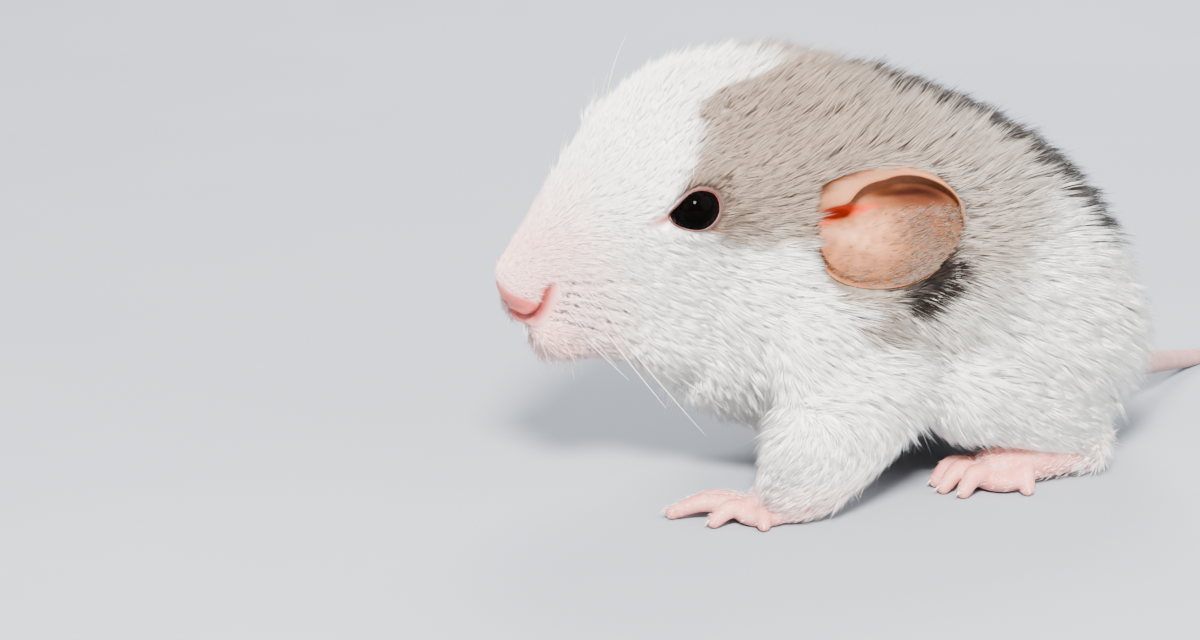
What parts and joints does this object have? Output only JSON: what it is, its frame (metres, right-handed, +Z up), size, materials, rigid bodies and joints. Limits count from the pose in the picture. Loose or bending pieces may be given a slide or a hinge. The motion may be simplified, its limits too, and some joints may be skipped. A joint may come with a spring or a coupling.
{
  "type": "pet rat figure",
  "caption": "Life-size still model of a young piebald pet rat with large round side-set ears, crouching on all fours with its tail laid behind it",
  "frame": {"origin": "centre of the footprint of the whole animal, on the floor under its feet", "axes": "+X points from the nose to the tail, -Y to the animal's left side, +Z up"},
  "size_m": [0.1472, 0.0482, 0.0545],
  "materials": {
    "white_coat": "soft white fur, matt",
    "hood_coat": "soft warm grey-brown fur, matt",
    "pink_skin": "bare pink skin with fine hair",
    "ear_skin": "thin bare skin, peach to orange",
    "tail_skin": "bare ringed skin",
    "eye_black": "wet glossy black"
  },
  "bodies": {
    "root": {"head": "white_coat", "neck": "white_coat", "torso": "hood_coat", "ear_left": "ear_skin", "eye_left": "eye_black", "fore_leg_left": "white_coat", "fore_foot_left": "pink_skin", "hind_leg_left": "white_coat", "hind_foot_left": "pink_skin", "ear_right": "ear_skin", "eye_right": "eye_black", "fore_leg_right": "white_coat", "fore_foot_right": "pink_skin", "hind_leg_right": "white_coat", "hind_foot_right": "pink_skin", "tail_1": "tail_skin", "tail_2": "tail_skin", "tail_3": "tail_skin", "tail_4": "tail_skin"}
  },
  "joints": []
}
